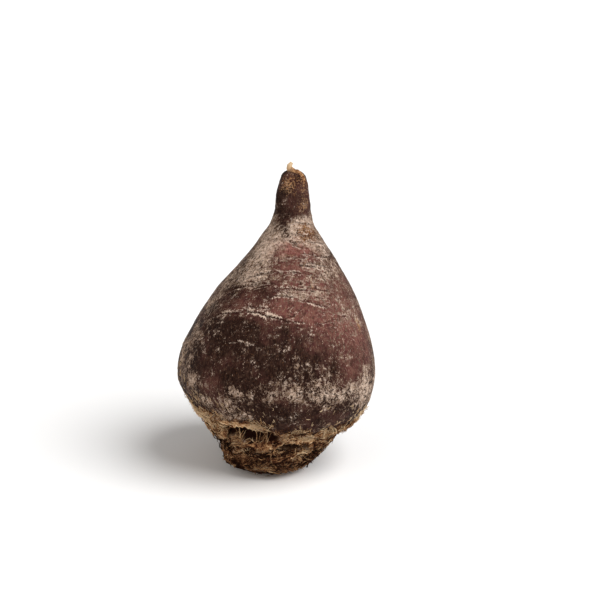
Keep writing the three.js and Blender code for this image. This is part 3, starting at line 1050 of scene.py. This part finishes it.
def fibre_strands(own, sizes, random):
    """(points, faces, tones) of strands that lie on the skin's relief.

    A strand walks over the skin in even steps. Its heading starts at its slant, turns evenly by its curl and
    swings by a sine. Its lift above the skin grows by its fray as a square. Strands that cross a dent are
    mostly left out.
    """
    t = np.linspace(0, 1, FIBRE_ROWS)
    middle = 0.5 * (t[1:] + t[:-1])
    column = {name: values[:, None] for name, values in own.items()}
    count = len(own["turn"])
    swing, phase = random.normal(0, 0.4, count)[:, None], random.random(count)[:, None]
    swing = swing * np.sin(2 * math.pi * (middle + phase))
    heading = column["slant"] + column["curl"] * middle + swing
    step = column["length"] / (FIBRE_ROWS - 1)
    start = np.zeros((count, 1))
    height = column["height"] + np.concatenate([start, np.cumsum(step * np.sin(heading), axis=1)], axis=1)
    height = np.maximum(height, LOWEST_FIBRE)
    sideways = np.concatenate([start, np.cumsum(step * np.cos(heading), axis=1)], axis=1)
    turn = column["turn"] + column["way"] * sideways / outline_radius(height)
    dented = blots(turn, height, (0, 0), DENTS, 3).max(axis=1)
    clear = own["across"] | (dented < random.uniform(0.3, 2.4, count))
    turn, height = turn[clear], height[clear]
    relief = skin_relief(turn, height, sizes)[0]
    lift = column["lift"][clear] + column["fray"][clear] * t**2
    centres = on_root(turn, height, relief + np.maximum(lift, 0))
    centres[..., 2] = np.maximum(centres[..., 2], FIBRE_CLEARANCE)
    points, faces = strand_mesh(centres, column["radius"][clear] * FIBRE_TAPER, FIBRE_SIDES)
    tone = np.repeat(np.clip(own["tone"][clear], 0, 1.4), FIBRE_ROWS * FIBRE_SIDES)
    return points.reshape(-1, 3), faces, tone


class BEETROOT_OT_stubs(bpy.types.Operator):
    """Makes the leaf-stalk stubs: torn crescent scales in rings round the crown."""

    bl_idname = "beetroot.stubs"
    bl_label = "Leaf stubs"

    def execute(self, context):
        sizes, colours = sizes_and_colours(context)
        random = np.random.default_rng(sizes.seed + 2)
        shells = [stub_shell(place, sizes, random) for place in stub_places(sizes)]
        count = STUB_ROWS * STUB_SIDES
        faces = []
        for k in range(len(shells)):
            first = k * count
            faces += ring_quads(STUB_ROWS, STUB_SIDES, first).tolist()
            faces.append(list(range(first + STUB_SIDES - 1, first - 1, -1)))
            faces.append(list(range(first + count - STUB_SIDES, first + count)))
        points = np.vstack([shell[0] for shell in shells])
        tone = np.concatenate([shell[1] for shell in shells])
        new_piece("leaf_stubs", points, faces, {"tone": tone}, fibre_finish(colours))
        return {"FINISHED"}


STUB_ROWS = 80
STUB_SIDES = 20
STUB_RINGS = 19, 13, 7  # heights in millimetres
STUBS_A_RING = 6
FRONT_MIDDLE = -0.05  # the middle of the front stubs, and how far the others in the upper rings keep from it
FRONT_HALF_ANGLE = 1.1
STUB_THICKNESS = 0.6 * MM
STUB_STRAND_RELIEF = 0.25 * MM
STUB_SINK = 0.1 * MM
LOWEST_STUB = 0.8 * MM  # along the axis
STUB_CLEARANCE = 0.25 * MM  # above the floor
# Turn in degrees; height, half width, drop and lift of the torn edge, and rise and sag of the arc, in
# millimetres.
FRONT_STUBS = [
    (-30, 24.4, 9.5, 1.7, 1.0, -0.6, -0.8), (17, 17.6, 7, 2.4, 0.9, -0.8, -0.5),
    (-14, 14.2, 8, 1.7, 0.9, 0.3, 0.9), (44, 14.5, 6, 2.4, 0.8, 0.6, 0.8),
    (-56, 17.5, 5, 2.4, 0.8, 0.5, 0.6),
]


def stub_places(sizes):
    """The front stubs, and rings of others that stand between those of the ring above, one row a stub."""
    random = np.random.default_rng(sizes.seed + 5)
    places = [(math.radians(s[0]), *(v * MM for v in s[1:])) for s in FRONT_STUBS]
    for ring, height in enumerate(STUB_RINGS):
        for k in range(STUBS_A_RING):
            turn = (k + 0.5 * (ring % 2)) * 2 * math.pi / STUBS_A_RING + random.normal(0, 0.2)
            sizes_of_stub = random.uniform((3, 1.4, 0.3), (6, 2.6, 1.1)) * MM
            rise, sag = random.normal(0, 0.6) * MM, random.uniform(0.2, 1.4) * MM
            high = (height + random.normal(0, 1.5)) * MM
            if ring == len(STUB_RINGS) - 1 or abs(turn_between(turn, FRONT_MIDDLE)) > FRONT_HALF_ANGLE:
                places.append((turn, high, *sizes_of_stub, rise, sag))
    return np.array(places)


def stub_fullness(u):
    """How full a stub is at u from -1 to 1 along its arc: the power 0.4 of a little more than 1 - u^2."""
    return (1 - 0.998 * u**2) ** 0.4


def stub_edge(place, u):
    """Turn, height and lift of the stub's torn edge at u from -1 to 1 along its arc."""
    centre, height, half_width, drop, lift, rise, sag = place
    fullness = stub_fullness(u)
    turn = centre + u * half_width / outline_radius(height)
    return turn, height + rise * u + sag * u**2 - drop * fullness, lift * fullness


def stub_shell(place, sizes, random):
    """(points, tones) of one torn scale: a thin wedge profile carried round the crown on an arc.

    The profile is a flat loop, wide as the drop and thinner to its edge. It shrinks with the stub's fullness
    towards the arc's ends. Noise along the arc tears its lower edge, and noise drawn out along the arc
    gives it strands.
    """
    centre, height, half_width, drop, lift, rise, sag = place
    u = np.linspace(-1, 1, STUB_ROWS)[:, None]
    angle = np.linspace(0, 2 * math.pi, STUB_SIDES, endpoint=False)[None]
    fullness = stub_fullness(u)
    downward = 0.5 - 0.5 * np.cos(angle)
    path = np.stack([u * half_width, np.full_like(u, random.uniform(0, 90) * MM), 0 * u], axis=-1)
    tear = noise(path, 1.6 * MM, int(random.integers(1, 9999)), 4, 0.8)
    strands = path[..., 0] + 0 * angle, path[..., 1] + 0.3 * MM * angle, drop * downward + 0 * u
    strand_size = np.array([2.4, 0.8, 0.5]) * MM
    strip = noise(np.stack(strands, axis=-1), strand_size, int(random.integers(1, 9999)), 3, 0.7)
    thick = np.sin(angle) * (0.5 - 0.36 * downward) * (1 + 0.5 * strip)
    turn = centre + u * half_width / outline_radius(height) + 0 * angle
    level = height + rise * u + sag * u**2 - drop * fullness * downward * (1 + 0.9 * tear)
    level = np.maximum(level, LOWEST_STUB)
    off = lift * downward**1.5 * (1 + 0.3 * tear) + STUB_THICKNESS * thick + STUB_STRAND_RELIEF * strip
    away = fullness * off - STUB_SINK
    points = on_root(turn, level, skin_relief(turn, level, sizes)[0] * (1 - downward) + away)
    points[..., 2] = np.maximum(points[..., 2], STUB_CLEARANCE)
    tone = crown_tone(turn, level) - 0.3 + 0.3 * (downward - 0.5) + 1.1 * strip
    return points.reshape(-1, 3), np.clip(tone, 0, 1).ravel()


class BEETROOT_OT_tail(bpy.types.Operator):
    """Makes the curled root tail on the neck and the hair roots on the skin."""

    bl_idname = "beetroot.tail"
    bl_label = "Root tail"

    def execute(self, context):
        sizes, colours = sizes_and_colours(context)
        material = tail_finish(colours)
        points, faces, tip = tail_tube(sizes.seed)
        new_piece("root_tail", points, faces, {"tip": tip}, material)
        random = np.random.default_rng(sizes.seed + 3)
        points, faces, tip = hair_roots(random)
        new_piece("hair_roots", points, faces, {"tip": tip}, material)
        return {"FINISHED"}


# Sideways place, height along the axis, depth towards the back and radius of the tail, in millimetres.
TAIL = [
    (11.9, 109.6, -3.1, 0.5), (11.9, 111.2, -2.8, 0.85), (11.2, 112.6, -2.4, 1.0), (9.8, 113.7, -1.7, 1.05),
    (8.1, 114.2, -1.0, 1.15), (6.9, 115.0, -0.5, 1.2), (7.0, 116.2, -0.1, 0.95), (7.8, 117.3, 0, 0.55),
]
TAIL_ROWS = 90
TAIL_SIDES = 16


def tail_tube(seed):
    """(points, faces, tips) of the tail: rings carried along a smooth curve, with radii wrinkled by noise."""
    line = smooth_curve(TAIL, TAIL_ROWS) * MM
    centres = leaned_point(line[:, 0], line[:, 2], line[:, 1])
    points, faces = strand_mesh(centres[None], line[None, :, 3], TAIL_SIDES)
    middle = centres[None, :, None]
    swell = 1 + 0.3 * noise(points, 0.9 * MM, seed + 130, 3, 0.6)[..., None]
    points = middle + (points - middle) * swell
    tip = np.repeat(smooth_step(np.linspace(0, 1, TAIL_ROWS), 0.55, 1), TAIL_SIDES)
    return points.reshape(-1, 3), faces, tip


HAIR_COUNT = 26
HAIR_ROWS = 12
HAIR_SINK = 0.2 * MM  # how deep a hair root starts under the skin


def hair_roots(random):
    """(points, faces, tips) of fine hair roots in the front and back rows, each a bent line off the skin."""
    row = np.where(random.random(HAIR_COUNT) < 0.5, 0, math.pi)
    start_turn = row + random.normal(0, 0.6, HAIR_COUNT)
    start_height = random.uniform(0.55, 0.95, HAIR_COUNT) * LENGTH
    length = random.uniform(1.5, 5, HAIR_COUNT) * MM
    t = np.linspace(0, 1, HAIR_ROWS)
    heading = random.uniform(-math.pi, math.pi, HAIR_COUNT)[:, None]
    heading = heading + random.normal(0, 0.9, HAIR_COUNT)[:, None] * t
    height = start_height[:, None] + length[:, None] * t * np.sin(heading)
    turn = start_turn[:, None] + length[:, None] * t * np.cos(heading) / outline_radius(height)
    lift = -HAIR_SINK + random.uniform(0.5, 1.6, HAIR_COUNT)[:, None] * MM * np.sin(0.6 * math.pi * t)
    centres = on_root(turn, height, lift)
    radii = random.uniform(0.06, 0.12, HAIR_COUNT)[:, None] * MM * (1.05 - 0.8 * t)
    points, faces = strand_mesh(centres, radii, FIBRE_SIDES)
    tip = np.tile(np.repeat(t, FIBRE_SIDES), HAIR_COUNT)
    return points.reshape(-1, 3), faces, tip


class BEETROOT_OT_stage(bpy.types.Operator):
    """Makes the pale floor, the soft lights and the camera."""

    bl_idname = "beetroot.stage"
    bl_label = "Stage"

    def execute(self, context):
        stage, colours = context.scene.beetroot_stage, context.scene.beetroot_colours
        studio_floor(colours)
        studio_surround(context.scene, stage)
        soft_light("key_light", KEY_FROM, stage.key_strength, colours.key_light)
        soft_light("fill_light", FILL_FROM, stage.fill_strength, colours.fill_light)
        studio_camera(context.scene, stage)
        context.scene.view_settings.view_transform = "Standard"
        return {"FINISHED"}


KEY_FROM = (0.6, -0.28, 0.75)
FILL_FROM = (-0.78, -0.5, 0.38)
LIGHT_SPREAD = math.radians(50)
FLOOR_RADIUS = 6.0
FLOOR_RINGS = 24
FLOOR_SIDES = 64
SENSOR_WIDTH = 36.0
CLIP_START = 0.05
CLIP_END = 50
AIM_ACROSS = 10.75 * MM  # what the camera aims at, from the foot of the crown's front, in the picture's plane
AIM_UP = 63.7 * MM


def studio_floor(colours):
    """A round flat floor, rings of points about the middle whose radius grows as a square."""
    turn = np.linspace(0, 2 * math.pi, FLOOR_SIDES, endpoint=False)
    reach = FLOOR_RADIUS * np.linspace(0.02, 1, FLOOR_RINGS)[:, None] ** 2
    flat = np.stack([reach * np.cos(turn), reach * np.sin(turn), 0 * reach * turn], axis=-1)
    middle, rings = list(range(FLOOR_SIDES)), ring_quads(FLOOR_RINGS, FLOOR_SIDES)[:, ::-1].tolist()
    mesh = bpy.data.meshes.new("floor")
    mesh.from_pydata(flat.reshape(-1, 3).tolist(), [], [middle] + rings)
    mesh.materials.append(Finish("studio_floor").finish(FLOOR_GLOSS, colours.floor, FLOOR_ROUGHNESS))
    floor = bpy.data.objects.new("floor", mesh)
    bpy.context.scene.collection.objects.link(floor)


def studio_surround(scene, stage):
    """An even white surround, which shines on the root less brightly than it looks."""
    world = bpy.data.worlds.new("studio")
    world.use_nodes = True
    nodes, links = world.node_tree.nodes, world.node_tree.links
    seen = nodes.new("ShaderNodeBackground")
    lit = nodes["Background"]
    lit.inputs["Color"].default_value = seen.inputs["Color"].default_value = (1, 1, 1, 1)
    lit.inputs["Strength"].default_value = stage.sky
    ray, mix = nodes.new("ShaderNodeLightPath"), nodes.new("ShaderNodeMixShader")
    links.new(ray.outputs["Is Camera Ray"], mix.inputs[0])
    links.new(lit.outputs[0], mix.inputs[1])
    links.new(seen.outputs[0], mix.inputs[2])
    links.new(mix.outputs[0], nodes["World Output"].inputs["Surface"])
    scene.world = world


def soft_light(name, source, strength, colour):
    """One broad light that shines on the root from the direction of source."""
    data = bpy.data.lights.new(name, "SUN")
    data.energy = strength
    data.color = colour
    data.angle = LIGHT_SPREAD
    light = bpy.data.objects.new(name, data)
    light.rotation_euler = (-Vector(source)).to_track_quat("-Z", "Y").to_euler()
    bpy.context.scene.collection.objects.link(light)


def studio_camera(scene, stage):
    """A camera in front of the root that looks down on it by the elevation."""
    rise = Vector((0, math.sin(stage.elevation), math.cos(stage.elevation)))
    forward = Vector((0, math.cos(stage.elevation), -math.sin(stage.elevation)))
    aim = Vector((0, CROWN_SHIFT_BACK, 0)) + AIM_ACROSS * Vector((1, 0, 0)) + AIM_UP * rise
    data = bpy.data.cameras.new("camera")
    data.sensor_width = SENSOR_WIDTH
    data.lens = SENSOR_WIDTH * stage.distance / stage.framed_width
    data.clip_start, data.clip_end = CLIP_START, CLIP_END
    camera = bpy.data.objects.new("camera", data)
    camera.location = aim - stage.distance * forward
    camera.rotation_euler = forward.to_track_quat("-Z", "Y").to_euler()
    scene.collection.objects.link(camera)
    scene.camera = camera


class BEETROOT_PT_panel(bpy.types.Panel):
    """Lists the beetroot's pieces and settings."""

    bl_label = "Beetroot"
    bl_idname = "BEETROOT_PT_panel"
    bl_space_type = "VIEW_3D"
    bl_region_type = "UI"
    bl_category = "Beetroot"

    def draw(self, context):
        layout = self.layout
        for operator in OPERATORS:
            layout.operator(operator.bl_idname)
        for group, properties in GROUPS.items():
            box = layout.box()
            for name in properties.__annotations__:
                box.prop(getattr(context.scene, group), name)


OPERATORS = (
    BEETROOT_OT_skin, BEETROOT_OT_fibres, BEETROOT_OT_fuzz,
    BEETROOT_OT_stubs, BEETROOT_OT_tail, BEETROOT_OT_stage,
)
GROUPS = {
    "beetroot_sizes": BeetrootSizes,
    "beetroot_colours": BeetrootColours,
    "beetroot_stage": BeetrootStage,
}
CLASSES = (*GROUPS.values(), *OPERATORS, BEETROOT_PT_panel)


def register():
    for each in CLASSES:
        bpy.utils.register_class(each)
    for name, group in GROUPS.items():
        setattr(bpy.types.Scene, name, bpy.props.PointerProperty(type=group))


def unregister():
    for name in GROUPS:
        delattr(bpy.types.Scene, name)
    for each in reversed(CLASSES):
        bpy.utils.unregister_class(each)


def main():
    register()
    bpy.ops.beetroot.skin()
    bpy.ops.beetroot.fibres()
    bpy.ops.beetroot.fuzz()
    bpy.ops.beetroot.stubs()
    bpy.ops.beetroot.tail()
    bpy.ops.beetroot.stage()


if __name__ == "__main__":
    main()
